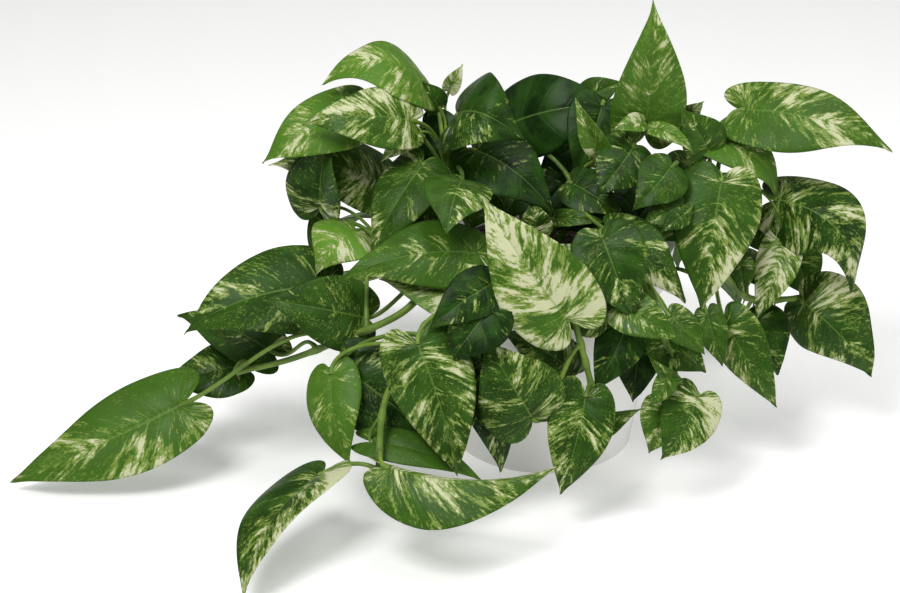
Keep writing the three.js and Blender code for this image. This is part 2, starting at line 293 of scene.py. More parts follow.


# %% [markdown]
# ## The stems' routes and the leaves' places
# A pothos climbs or trails on long stems, and each leaf hangs on its own stalk where it finds
# light. Leaves could be scattered by chance, but a plant has its own order, so every stem here
# is a smooth line through listed points. A leaf is given by the place where its blade
# meets its stalk, its tip, the way its upper side faces, its width, how far the midrib arches
# over the straight line from base to tip, and how its halves fold. These are the numbers that
# the solids use, in millimetres.

# %% Stems
STEMS = {
    "crown_left": [(-30, 5, 92), (-40, 8, 118), (-50, 9, 140), (-54, 8, 156)],
    "crown_middle": [(6, 14, 92), (10, 12, 118), (14, 10, 140), (20, 10, 156)],
    "crown_right": [(34, 10, 92), (58, 12, 122), (80, 8, 140), (92, 4, 152)],
    "left_high": [(-38, -14, 92), (-52, -22, 124), (-72, -28, 130), (-90, -26, 126)],
    "left_long": [
        (-28, -28, 92), (-44, -46, 126), (-54, -56, 127), (-76, -72, 108), (-108, -70, 91),
        (-138, -56, 72), (-165, -58, 66),
    ],
    "left_low": [
        (-12, -36, 92), (-24, -58, 127), (-34, -70, 127), (-62, -96, 110), (-84, -108, 78),
        (-88, -128, 46),
    ],
    "front": [
        (4, -34, 92), (4, -58, 127), (5, -74, 126), (12, -84, 106), (18, -86, 84), (24, -86, 60),
    ],
    "front_right": [
        (26, -28, 92), (38, -50, 126), (46, -64, 126), (56, -76, 104), (62, -80, 80), (67, -82, 66),
    ],
    "right_low": [
        (38, -6, 92), (62, -14, 126), (76, -18, 126), (94, -26, 108), (112, -14, 88), (140, 0, 82),
    ],
    "back_left": [(-22, 28, 92), (-36, 52, 127), (-46, 64, 127), (-60, 76, 114), (-70, 84, 98)],
    "back_left_low": [
        (-8, 34, 92), (-14, 60, 127), (-20, 74, 127), (-36, 92, 106), (-62, 106, 78),
        (-92, 112, 46),
    ],
    "back_right": [(20, 30, 92), (34, 52, 127), (44, 64, 127), (56, 76, 114), (62, 84, 100)],
    "back_right_low": [
        (6, 34, 92), (12, 60, 127), (18, 74, 127), (34, 92, 104), (56, 102, 78), (78, 102, 52),
    ],
}
print("stems:", len(STEMS))


# %% Leaves
# name, stem, share along the stem, base, tip, facing, width, arch, fold (degrees)
USUAL_FORM = (0.1, 0)    # arch and fold, for a row that ends with the width
LEAF_ROWS = [
    ("a1", "crown_left", 1, (-67, 20, 202), (-120, 10, 203), (0, -4, 9), 44, 0.28, -15),
    ("a2", "crown_left", 0.9, (-102, 8, 189), (-153, -5, 165), (-1, -6, 7), 40, 0.12, -5),
    ("a3", "crown_left", 0.95, (-73, -8, 189), (-129, -15, 190), (0, -8, 6), 34, 0.16, -5),
    ("b1", "crown_left", 0.98, (-48, -4, 191), (-12, -22, 182), (-2, -8, 6), 46, 0.5, 0),
    ("b2", "crown_middle", 0.8, (-18, 45, 168), (42, 40, 180), (-1, -8, 6), 47, 0.22, 0),
    ("b4", "crown_left", 0.91, (-38, -5, 171), (3, -25, 143), (3, -7, 6), 42, 0.18, -5),
    ("c1", "left_high", 1, (-122, 0, 136), (-115, 0, 184), (-5, -8, 1), 38, 0.1, 25),
    ("c2", "left_high", 0.75, (-88, 18, 143), (-150, 12, 157), (0, -6, 8), 44, 0.16, -5),
    ("c3", "left_long", 0.58, (-103, -22, 132), (-123, -38, 114), (-3, -7, 6), 38, 0.3, -10),
    ("d1", "crown_left", 0.85, (-67, -15, 166), (-94, -38, 124), (-5, -8, 4), 36, 0.12, -5),
    ("d2", "crown_left", 0.88, (-46, -36, 166), (-54, -72, 151), (0, -7, 8), 36, 0.12, -5),
    ("d3", "left_low", 0.2, (-38, -56, 134), (-108, -72, 127), (0, -6, 8), 42, 0.12, 0),
    ("d4", "left_low", 0.3, (-28, -78, 116), (-89, -66, 125), (1, -7, 6), 34, 0.05, 0),
    ("i1", "left_long", 0.66, (-196, -60, 47), (-288, -72, 7), (0, -7, 7), 49, 0.02, -3),
    ("i2", "left_long", 1, (-167, -24, 52), (-208, -24, 40), (0, -6, 8), 34, 0.12, 0),
    ("i3", "left_long", 0.75, (-150, -28, 64), (-203, 0, 72), (-1, -4, 9), 34),
    ("i4", "left_long", 0.4, (-118, -40, 108), (-193, -55, 88), (0, -6, 8), 54, 0.12, 0),
    ("i5", "left_long", 0.35, (-97, -66, 102), (-147, -76, 117), (1, -8, 6), 40, 0.06, 0),
    ("h1", "left_low", 0.5, (-68, -106, 106), (-48, -126, 41), (0, -9, 4), 50, 0.08, -10),
    ("h2", "left_low", 0.6, (-104, -88, 82), (-48, -103, 38), (-2, -8, 6), 44, 0.08, 0),
    ("h4", "left_low", 0.95, (-82, -142, 56), (1, -148, 58), (0, -6, 8), 40, 0.02, -8),
    ("h5", "left_low", 1, (-119, -126, 42), (-154, -192, 11), (-5, -3, 8), 42, 0.1, 10),
    ("h6", "left_low", 0.65, (-113, -92, 82), (-103, -117, 42), (-3, -8, 4), 32, 0.1, -5),
    ("l1", "front", 0.42, (-32, -96, 121), (-53, -108, 96), (0, -8, 5), 32),
    ("l2", "front", 0.6, (-37, -90, 90), (-25, -100, 28), (4, -8, 3), 34, 0.08, 0),
    ("l5", "front", 0.72, (-10, -106, 64), (-35, -96, 104), (-1, -9, 4), 46),
    ("g12", "front", 0.9, (17, -100, 73), (4, -114, 23), (-1, -9, 4), 34, 0.08, 0),
    ("e1", "front", 0.48, (7, -94, 114), (-36, -76, 173), (-1, -9, 4), 48, 0.06, 0),
    ("e2", "front", 0.4, (29, -76, 112), (-3, -54, 138), (1, -8, 6), 45),
    ("e3", "crown_middle", 0.5, (32, -35, 137), (71, -60, 108), (2, -7, 7), 34, 0.15, 0),
    ("g2", "front_right", 0.35, (33, -82, 117), (65, -95, 103), (0, -8, 6), 24),
    ("g6", "front_right", 0.4, (39, -75, 101), (22, -88, 70), (0, -8, 5), 26),
    ("g10", "front_right", 0.9, (59, -88, 62), (51, -98, 39), (0, -9, 4), 24),
    ("g11", "front_right", 1, (76, -88, 67), (57, -101, 36), (2, -9, 4), 33),
    ("j1", "crown_middle", 0.9, (52, 10, 177), (54, 5, 249), (0, -9, 2), 35, 0.05, 10),
    ("j4", "crown_middle", 0.95, (30, 22, 186), (15, 8, 150), (0, -9, 3), 33),
    ("j8", "crown_middle", 0.85, (45, -4, 172), (25, -22, 152), (0, -8, 6), 34),
    ("j9", "crown_right", 0.5, (64, -18, 166), (44, -32, 148), (0, -8, 6), 28),
    ("f1", "crown_right", 0.9, (91, -18, 158), (81, -46, 96), (0, -9, 4), 48, 0.08, -8),
    ("f2", "crown_right", 0.98, (107, 20, 185), (186, 2, 170), (0, -6, 8), 46, 0.1, -4),
    ("f3", "crown_right", 0.95, (90, 12, 170), (126, 2, 137), (5, -5, 7), 32, 0.22, 0),
    ("f4", "crown_right", 1, (125, 0, 141), (166, -24, 97), (3, -6, 7), 44, 0.33, 0),
    ("f5", "right_low", 1, (142, -6, 82), (180, -20, 44), (1, -8, 5), 48, 0.16, 0),
    ("f11", "right_low", 0.5, (95, -40, 86), (123, -55, 43), (-2, -8, 5), 31, 0.08, 0),
    ("f12", "right_low", 0.8, (112, -5, 70), (129, -15, 42), (0, -9, 4), 34),
    ("b3", "crown_left", 0.7, (-66, 20, 174), (-42, 10, 146), (-2, -8, 4), 34, 0.08, -4),
    ("c4", "left_high", 0.98, (-120, 8, 124), (-110, 5, 80), (-6, -8, 0), 22, 0.1, 15),
    ("h3", "left_low", 0.85, (-91, -112, 54), (-34, -118, 34), (0, -5, 8), 20, 0.12, 0),
    ("l4", "front", 0.8, (12, -78, 76), (-26, -82, 102), (2, -6, 7), 34),
    ("g7", "front_right", 0.55, (47, -68, 87), (44, -75, 57), (0, -9, 3), 24),
    ("k1", "crown_middle", 0.6, (14, 0, 150), (40, -15, 137), (0, -8, 6), 26),
    ("f6", "right_low", 0.9, (136, 25, 102), (151, 20, 72), (0, -9, 4), 30),
    ("f7", "right_low", 0.7, (128, -10, 120), (113, -25, 80), (-3, -8, 3), 24),
    ("r1", "back_left", 0.75, (-60, 92, 120), (-80, 130, 84), (-1, 6, 8), 46, 0.12, 0),
    ("r2", "back_left", 0.6, (-30, 88, 124), (-36, 140, 92), (0, 6, 8), 48, 0.12, 0),
    ("r6", "back_left", 1, (-90, 72, 104), (-124, 106, 66), (-5, 5, 8), 46, 0.12, 0),
    ("r7", "back_left_low", 0.75, (-72, 108, 80), (-82, 148, 42), (0, 8, 5), 44),
    ("r8", "back_left_low", 0.6, (-40, 104, 82), (-36, 148, 40), (1, 8, 5), 44),
    ("r12", "back_left_low", 1, (-104, 118, 44), (-122, 152, 8), (-3, 7, 6), 40, 0.08, 0),
    ("r3", "back_right", 0.6, (6, 92, 122), (8, 140, 84), (0, 6, 8), 46, 0.12, 0),
    ("r4", "back_right", 0.75, (44, 96, 118), (54, 138, 84), (1, 6, 8), 44, 0.12, 0),
    ("r5", "back_right", 1, (74, 78, 110), (104, 112, 78), (5, 5, 8), 46, 0.12, 0),
    ("r9", "back_right_low", 0.85, (76, 108, 74), (90, 146, 36), (2, 8, 5), 42),
    ("r10", "back_right_low", 0.6, (28, 112, 76), (22, 156, 38), (0, 8, 5), 44),
    ("r11", "back_right_low", 1, (92, 92, 56), (126, 116, 22), (5, 6, 6), 40),
]
print("leaves that the solids hold:", len(LEAF_ROWS))


# %% Small leaves
SMALL_LEAF_ROWS = [
    ("a4", "crown_left", 0.98, (-58, 16, 188), (-69, 18, 202), (1, -8, 4), 15),
    ("a5", "crown_left", 0.99, (-52, 30, 193), (-45, 30, 207), (0, -8, 4), 10, 0.1, 20),
    ("a6", "crown_left", 0.9, (-72, -10, 181), (-89, -14, 168), (-1, -8, 6), 12),
    ("g1", "right_low", 0.4, (84, -46, 94), (93, -54, 67), (1, -9, 3), 17),
    ("g3", "front_right", 0.55, (65, -86, 103), (74, -92, 88), (0, -8, 5), 8),
    ("g4", "front_right", 0.52, (60, -86, 112), (78, -94, 94), (0, -7, 7), 19),
    ("g5", "front_right", 0.6, (59, -76, 98), (57, -82, 77), (0, -9, 3), 22),
    ("g8", "front_right", 0.75, (64, -89, 75), (49, -91, 92), (0, -9, 3), 9, 0.1, 20),
    ("g9", "front_right", 0.85, (60, -92, 80), (50, -97, 66), (0, -8, 5), 12, 0.2, -10),
    ("g13", "front", 0.95, (20, -86, 45), (46, -88, 60), (0, -8, 5), 14),
    ("j3", "crown_middle", 0.97, (22, 50, 180), (44, 50, 190), (0, -8, 5), 18),
    ("j5", "crown_middle", 0.88, (28, -4, 170), (14, -2, 199), (-2, -8, 3), 15, 0.1, 30),
    ("j6", "crown_middle", 0.93, (50, 2, 184), (34, -4, 182), (0, -7, 7), 12, 0.15, 10),
    ("j7", "crown_middle", 0.94, (56, -2, 182), (77, -10, 171), (0, -7, 7), 10, 0.2, 10),
    ("j10", "crown_right", 0.8, (74, 22, 176), (84, 16, 191), (0, -8, 5), 14),
    ("j11", "crown_right", 0.7, (86, 2, 168), (70, 6, 190), (0, -8, 5), 26),
    ("j14", "crown_right", 0.4, (70, -26, 147), (49, -31, 140), (0, -8, 6), 18),
    ("j15", "crown_right", 0.36, (70, -36, 147), (58, -40, 139), (0, -8, 6), 12),
    ("k2", "crown_middle", 0.5, (4, -10, 134), (32, -18, 135), (0, -8, 6), 10, 0.15, 0),
    ("k3", "crown_middle", 0.4, (-6, -30, 134), (-9, -26, 151), (0, -8, 5), 18),
    ("f8", "right_low", 0.75, (115, 6, 118), (135, 0, 110), (0, -8, 6), 17),
    ("f9", "right_low", 0.6, (107, -6, 108), (123, -13, 93), (0, -8, 6), 18),
    ("f10", "right_low", 0.5, (104, -16, 111), (107, -24, 96), (0, -8, 5), 16),
    ("f13", "crown_right", 0.97, (125, -4, 134), (128, -8, 124), (1, -8, 3), 6, 0.1, 10),
    ("k4", "crown_middle", 0.35, (47, 2, 128), (5, -10, 127), (0, -7, 7), 28, 0.12, 0),
    ("k5", "crown_middle", 0.45, (28, 12, 140), (-8, 0, 126), (0, -7, 6), 26),
    ("k6", "crown_right", 0.3, (60, 14, 135), (42, 2, 118), (0, -8, 6), 28),
    ("k7", "crown_right", 0.35, (72, 4, 132), (57, -10, 114), (0, -8, 5), 22),
    ("k8", "crown_middle", 0.4, (-13, 10, 146), (-27, -4, 128), (0, -8, 5), 26),
    ("j16", "crown_middle", 0.9, (20, 44, 155), (-3, 34, 145), (0, -8, 5), 24),
    ("j17", "crown_right", 0.6, (56, 34, 137), (36, 20, 125), (0, -8, 5), 26),
    ("j18", "crown_right", 0.6, (79, 20, 151), (57, 10, 144), (0, -8, 5), 24),
    ("l6", "left_low", 0.3, (-31, -88, 131), (-63, -104, 113), (0, -8, 5), 26),
    ("g14", "front_right", 0.36, (25, -74, 150), (41, -88, 111), (0, -8, 5), 38, 0.12, 0),
    ("g15", "front_right", 0.7, (60, -78, 92), (80, -84, 79), (0, -8, 5), 22),
    ("k9", "crown_middle", 0.35, (-28, -2, 149), (-41, -16, 130), (0, -8, 5), 26),
    ("k10", "crown_left", 0.4, (-51, 2, 143), (-66, -10, 128), (0, -8, 5), 24),
    ("k11", "crown_middle", 0.35, (15, 32, 141), (-2, 24, 127), (0, -8, 5), 26),
    ("k12", "crown_left", 0.35, (-62, -2, 139), (-76, -14, 128), (0, -8, 5), 24),
]
print("small leaves:", len(SMALL_LEAF_ROWS))


# %% [markdown]
# ## The marbling
# A pothos leaf is marbled because some of its cell lines make no green. The pale cells follow
# the side veins, so the marks are long flecks that run from the midrib to the edge, with whole
# sectors of cream here and there and a dust of fine specks. A painted image would give every
# leaf the same marks. Noise gives each its own. Sectors, flecks and specks are added up,
# and where the sum passes a level the leaf is pale. All noises are laid out along the veins
# with the leaf's own map, whose first number runs from the base to the tip and whose second
# runs across, so that the marks bend as the veins do.

# %% The marbling group
# How often each noise repeats along the blade and across it: few and wide, or many and thin.
SECTORS = (7.0, 0.7)
FLECKS = (40.0, 2.2)
SPECKS = (110.0, 14.0)
DUST_CLOUDS = (4.0, 1.5)
SHADES = (9.0, 1.6)
PLAIN_LEVEL = 1.17      # what the sum has to pass on a leaf without cream
CREAM_DROP = 0.34       # how far a full share of cream lowers it
DUST_SHARE = 0.6
FLOAT = "NodeSocketFloat"
marbling, marbling_in, marbling_out = new_group(
    "marbling",
    [("Along", FLOAT), ("Side", FLOAT), ("Cream", FLOAT), ("Seed", FLOAT)],
    [("Cream Mask", FLOAT), ("Pale Mask", FLOAT), ("Shade", FLOAT)],
)


def vein_noise(stretch, seed_step, detail, roughness, distortion=0.0):
    """A noise that runs fast across the veins and slowly along them."""
    place = add_node(marbling, "ShaderNodeCombineXYZ", {
        0: maths(marbling, "MULTIPLY", marbling_in.outputs["Along"], stretch[0]),
        1: maths(marbling, "MULTIPLY", marbling_in.outputs["Side"], stretch[1]),
        2: maths(marbling, "ADD", marbling_in.outputs["Seed"], seed_step),
    })
    return noise(marbling, place.outputs[0], 1.0, detail, roughness, distortion)


sectors = vein_noise(SECTORS, 0.0, 2.0, 0.5)
flecks = vein_noise(FLECKS, 5.3, 4.0, 0.6, 0.25)
specks = vein_noise(SPECKS, 9.1, 3.0, 0.6)
dusty = vein_noise(DUST_CLOUDS, 21.9, 2.0, 0.5)
shade = vein_noise(SHADES, 13.7, 4.0, 0.55)
print("noises along the veins:", 5)


# %% Where it is pale
cream_share = marbling_in.outputs["Cream"]
patchy = maths(marbling, "MULTIPLY_ADD", sectors, 0.8, maths(marbling, "MULTIPLY", flecks, 0.85))
patchy = maths(marbling, "MULTIPLY_ADD", specks, 0.34, patchy)
# The sum's mean is about 1; more cream lowers the level that it has to pass.
level = maths(marbling, "MULTIPLY_ADD", cream_share, -CREAM_DROP, PLAIN_LEVEL)
above = maths(marbling, "SUBTRACT", patchy, level)
fine = maths(marbling, "MULTIPLY_ADD", flecks, 0.25, specks)
dust = maths(marbling, "MULTIPLY_ADD", dusty, 0.5, fine)
dust = maths(marbling, "MULTIPLY", ramp_up(marbling, dust, 0.955, 1.03), DUST_SHARE)
dust = maths(marbling, "MULTIPLY", dust, ramp_up(marbling, cream_share, -0.15, 0.3))
pale = maths(marbling, "MAXIMUM", ramp_up(marbling, above, -0.03, 0.04), dust)
marbling.links.new(ramp_up(marbling, above, 0.06, 0.16), marbling_out.inputs["Cream Mask"])
marbling.links.new(pale, marbling_out.inputs["Pale Mask"])
marbling.links.new(shade, marbling_out.inputs["Shade"])
print("marbling nodes:", len(marbling.nodes))


# %% [markdown]
# ## The leaf finishes
# The upper side is deep green, waxy and glossy, with a pale midrib. The underside is
# paler and duller. Both use the same marbling, because the pale cells go right through the leaf.
# A material for each leaf would be a hundred materials. Instead each leaf carries three numbers
# of its own, as attributes of its mesh: how much cream it has, how light its green is, and a
# seed that gives it marks of its own. Two materials read them and serve all the leaves.

# %% Upper side and underside
DEEP_GREEN = (0.0045, 0.018, 0.002, 1)
MID_GREEN = (0.017, 0.056, 0.005, 1)
LIGHT_GREEN = (0.095, 0.225, 0.020, 1)
FLECK_GREEN = (0.19, 0.27, 0.05, 1)
CREAM = (0.52, 0.53, 0.33, 1)
MIDRIB_GREEN = (0.12, 0.21, 0.04, 1)
DULL_GREEN = (0.16, 0.25, 0.10, 1)
SIDE_VEINS = 7
VEIN_HALF_WIDTH = 0.09    # share of the step from one side vein to the next
LEAF_SHINE = 0.1


def leaf_material(name, dulling, roughness, vein_height):
    """dulling mixes all colours with a dull green; vein_height is how far the veins stand out."""
    material, tree, shader = new_material(name)
    place = add_node(tree, "ShaderNodeUVMap", uv_map="veins").outputs[0]
    split = add_node(tree, "ShaderNodeSeparateXYZ", {0: place}).outputs
    along = split[0]
    side = maths(tree, "MULTIPLY_ADD", split[1], 2.0, -1.0)
    out = maths(tree, "ABSOLUTE", side)
    marks = add_node(tree, "ShaderNodeGroup", node_tree=marbling)
    tree.links.new(along, marks.inputs["Along"])
    tree.links.new(side, marks.inputs["Side"])
    tree.links.new(own_number(tree, "cream"), marks.inputs["Cream"])
    tree.links.new(own_number(tree, "seed"), marks.inputs["Seed"])
    light = own_number(tree, "light")

    shade = ramp_up(tree, marks.outputs["Shade"], 0.35, 0.68)
    green = blend_colours(tree, shade, DEEP_GREEN, MID_GREEN)
    green = blend_colours(tree, light, green, LIGHT_GREEN)
    flecked = maths(tree, "MULTIPLY", marks.outputs["Pale Mask"], 0.75)
    creamed = maths(tree, "MULTIPLY", marks.outputs["Cream Mask"], 0.9)
    colour = blend_colours(tree, flecked, green, FLECK_GREEN)
    colour = blend_colours(tree, creamed, colour, CREAM)

    # The side veins leave the midrib at even steps, once the lobes are behind them.
    turn = maths(tree, "FRACT", maths(tree, "MULTIPLY", along, float(SIDE_VEINS)))
    from_vein = maths(tree, "ABSOLUTE", maths(tree, "SUBTRACT", turn, 0.5))
    vein = maths(tree, "SUBTRACT", 1.0, ramp_up(tree, from_vein, 0.0, VEIN_HALF_WIDTH))
    near_rib = maths(tree, "SUBTRACT", 1.0, ramp_up(tree, out, 0.55, 0.95))
    vein = maths(tree, "MULTIPLY", vein, near_rib)
    colour = blend_colours(tree, maths(tree, "MULTIPLY", vein, 0.07), colour, MIDRIB_GREEN)
    rib_width = maths(tree, "MULTIPLY_ADD", along, 0.012, 0.017)
    from_rib = maths(tree, "DIVIDE", out, rib_width)
    rib = maths(tree, "SUBTRACT", 1.0, ramp_up(tree, from_rib, 0.5, 1.3))
    colour = blend_colours(tree, maths(tree, "MULTIPLY", rib, 0.5), colour, MIDRIB_GREEN)
    colour = blend_colours(tree, dulling, colour, DULL_GREEN)
    dull = maths(tree, "MULTIPLY_ADD", marks.outputs["Shade"], 0.14, roughness - 0.07)
    paint(tree, shader, colour, dull)
    pores = maths(tree, "MULTIPLY", noise(tree, own_place(tree), 900.0, 2.0), 0.15)
    set_bump(tree, shader, maths(tree, "MULTIPLY_ADD", vein, vein_height, pores), 0.35, 0.0004)
    shader.inputs["Specular IOR Level"].default_value = LEAF_SHINE
    return material


leaf_upper = leaf_material("leaf_upper", 0.0, 0.38, -0.6)
leaf_under = leaf_material("leaf_under", 0.4, 0.6, 1.0)
print("leaf finishes:", leaf_upper.name, leaf_under.name)


# %% [markdown]
# ## The flat blade
# All leaves of a pothos have one shape: a heart with round lobes and a drawn-out tip. It could
# be cut from a sheet, but then the mesh would know nothing of the veins. So it is modelled once,
# flat, from a grid whose lines become the veins: near the base they all start where the stalk
# meets the blade and fan out into the lobes, and further on they leave the midrib one after
# another and sweep forward.

# %% The blade's outline
VEIN_STEPS = 72
SIDE_STEPS = 30
FAN_SHARE = 0.3        # the part of the veins that fans out from the base
VEIN_SWEEP = 1.8       # more than 1 lets the veins leave the midrib early and sweep forward
EDGE_STEPS = 400
EDGE_SHAPE = 0.6       # half width over length, only for the even spacing of the edge
# Points of one half of the edge: share of the length, share of half the width.
EDGE_POINTS = [
    (0.0, 0.0), (-0.085, 0.10), (-0.15, 0.33), (-0.14, 0.60), (-0.05, 0.86), (0.10, 0.99),
    (0.27, 1.0), (0.45, 0.86), (0.62, 0.62), (0.78, 0.35), (0.89, 0.15), (0.95, 0.055), (1.0, 0.0),
]


def smooth_line(points, count):
    """A Catmull-Rom line through the points, cut at even steps of its length."""
    points = np.array(points, float)
    padded = np.vstack([2 * points[0] - points[1], points, 2 * points[-1] - points[-2]])
    fine = []
    for first in range(len(points) - 1):
        a, b, c, d = padded[first:first + 4]
        share = np.linspace(0, 1, 40, endpoint=False)[:, None]
        fine.append(0.5 * (2 * b + (c - a) * share + (2 * a - 5 * b + 4 * c - d) * share**2
                           + (3 * b - a - 3 * c + d) * share**3))
    fine = np.vstack(fine + [points[-1:]])
    walked = np.concatenate([[0], np.cumsum(np.linalg.norm(np.diff(fine, axis=0), axis=1))])
    even = np.linspace(0, walked[-1], count)
    columns = [np.interp(even, walked, fine[:, axis]) for axis in range(fine.shape[1])]
    return np.stack(columns, axis=1)


edge_line = smooth_line([(x, y * EDGE_SHAPE) for x, y in EDGE_POINTS], EDGE_STEPS)
edge_line[:, 1] /= EDGE_SHAPE


def flat_place(along, side):
    """Where a point of the grid lies on the flat blade, as shares of length and half width."""
    even = np.linspace(0, 1, EDGE_STEPS)
    edge_x = np.interp(along, even, edge_line[:, 0])
    edge_y = np.interp(along, even, edge_line[:, 1])
    rib = np.clip((along - FAN_SHARE) / (1 - FAN_SHARE), 0, 1) ** VEIN_SWEEP
    out = np.abs(side)
    x = rib + (edge_x - rib) * out**1.25
    return x, edge_y * np.sign(side) * out


print("edge points:", len(edge_line))


# %% The blade
def flat_blade():
    """The master blade: a grid laid out as a leaf, with its map of the veins."""
    clear_selection()
    bpy.ops.mesh.primitive_grid_add(x_subdivisions=VEIN_STEPS, y_subdivisions=SIDE_STEPS, size=2)
    blade = bpy.context.object
    blade.name = "flat_blade"
    mesh = blade.data
    mesh.uv_layers[0].name = "veins"
    places = read_places(mesh)
    along = (places[:, 0] + 1) / 2
    side = places[:, 1].copy()
    places[:, 0], places[:, 1] = flat_place(along, side)
    mesh.vertices.foreach_set("co", places.ravel())
    store_numbers(mesh, "along", along)
    store_numbers(mesh, "side", side)
    with editing(blade):
        bpy.ops.mesh.remove_doubles(threshold=0.0005)
    return blade


master_blade = flat_blade()
print("blade faces:", len(master_blade.data.polygons))


# %% [markdown]
# ## Bending a blade into place
# A real blade is never flat. Its midrib arches, its halves rise from the rib or hang, their edges
# wave, the skin is quilted between the veins, and the tip bends down. A stack of bend modifiers
# could do some of it. A formula does all of it at once, with amounts of its own for each leaf, and
# lays the flat blade along the line from the leaf's base to its tip.

# %% How each leaf differs
# name: share of cream, lightness of the green
LOOKS = {
    "a1": (0.45, 0.7), "a2": (0.4, 0.6), "a3": (0.6, 0.25), "a4": (0, 0.1), "a5": (0.8, 0.8),
    "a6": (0.6, 0.7), "b1": (0.1, 0.05), "b2": (-0.3, 0), "b3": (-0.2, 0), "b4": (0, 0),
    "c1": (0.3, 0.05), "c2": (0.55, 0.2), "c3": (0.6, 1.0), "c4": (0.1, 0.1), "d1": (0.15, 0.15),
    "d3": (0.2, 0.3), "d4": (0.7, 0.6), "i1": (0.3, 0.4), "i2": (0.15, 0.1), "i3": (0.1, 0.1),
    "i4": (0.2, 0.12), "i5": (0.2, 0.12), "h1": (0.35, 0.15), "h2": (0.1, 0), "h3": (0.05, 0.35),
    "h4": (0.5, 0.25), "h5": (0.45, 0.1), "h6": (0.2, 0.5), "l1": (0.05, 0), "l2": (0.15, 0),
    "l4": (0.3, 0.1), "l5": (0.35, 0.1), "g12": (0.35, 0.1), "e1": (0.72, 0.35), "e2": (0.4, 0.1),
    "e3": (0.4, 0.1), "g2": (0.3, 0.3), "g6": (0.05, 0), "g7": (0, 0), "g9": (0.3, 0.3),
    "g10": (0.55, 0.3), "g11": (0.55, 0.15), "j1": (0.4, 0.5), "j4": (-0.1, 0.05),
    "j5": (0.45, 0.5), "j6": (0.6, 0.5), "j7": (0.5, 0.6), "j8": (0.1, 0.05), "j9": (0.2, 0.15),
    "j10": (0.6, 0.5), "j15": (0.1, 0.1), "j16": (-0.1, 0), "j17": (-0.1, 0), "j18": (0.1, 0.05),
    "k4": (0, 0), "k5": (0, 0), "k6": (-0.2, 0), "g14": (0.15, 0.1), "g15": (0.1, 0.1),
    "k7": (0.1, 0.3), "k8": (0, 0), "l6": (0.05, 0), "k1": (0.1, 0.05), "k11": (-0.1, 0),
    "k12": (0, 0.05), "k3": (0.5, 0.1), "f1": (0.35, 0.2), "f2": (0.45, 0.35), "f3": (0.2, 0.55),
    "f4": (0.45, 0.05), "f5": (0.35, 0.12), "f6": (0.1, 0.2), "f7": (0.7, 0.25), "f11": (0.35, 0.2),
    "f12": (0.15, 0.05),
}
USUAL_LOOK = (0.2, 0.2)
# name: changes to its form. Folds and curl are in degrees; the left half is the +side one.
FORMS = {
    "c2": {"lean": 0.3},
    "h1": {"width": 46},
    "h4": {"left": -58, "right": -4, "width": 52, "sway": -0.09, "curl": -18, "nod": -0.04},
    "h5": {"lean": 0.4},
    "g11": {"lean": 0.3},
    "j1": {"width": 40},
    "f1": {"lean": 0.4},
    "f4": {"right": -55, "width": 50, "curl": -8},
    "f5": {"right": -48, "width": 52},
    "f11": {"right": -30},
    "f12": {"right": -40, "width": 38},
}


def read_leaf(row):
    name, stem, at, base, tip, facing, width, *form = row
    arch, fold = form or USUAL_FORM
    cream, light = LOOKS.get(name, USUAL_LOOK)
    dice = random.Random("leaf " + name)
    leaf = {
        "name": name, "stem": stem, "at": at, "base": Vector(base), "tip": Vector(tip),
        "facing": Vector(facing), "width": width, "arch": arch, "cream": cream, "light": light,
        "left": fold + dice.uniform(5, 15), "right": fold + dice.uniform(5, 15),
        "curl": dice.uniform(-32, -16), "wave": dice.uniform(0.7, 1.8),
        "wave_start": dice.uniform(0, 1), "nod": dice.uniform(0.02, 0.06),
        "sway": dice.uniform(-0.03, 0.03), "seed": dice.uniform(0, 40),
        "lean": dice.uniform(-0.15, 0.15),
    }
    leaf.update(FORMS.get(name, {}))
    return leaf


def leaf_frame(leaf):
    along = leaf["tip"] - leaf["base"]
    length = along.length
    along.normalize()
    up = leaf["facing"] - leaf["facing"].dot(along) * along
    up.normalize()
    return along, up.cross(along), up, length


print("leaves with a look of their own:", len(LOOKS))


# %% The bending
GROOVE_DEPTH = 0.55       # the midrib lies this deep, in millimetres
GROOVE_WIDTH = 0.07       # share of half the width
QUILT_HEIGHT = 0.28
WAVES = 2.2               # along each edge
NOD_START = 0.72          # where the tip begins to bend down
USUAL_HALF = 25           # half the width of a usual leaf, in millimetres


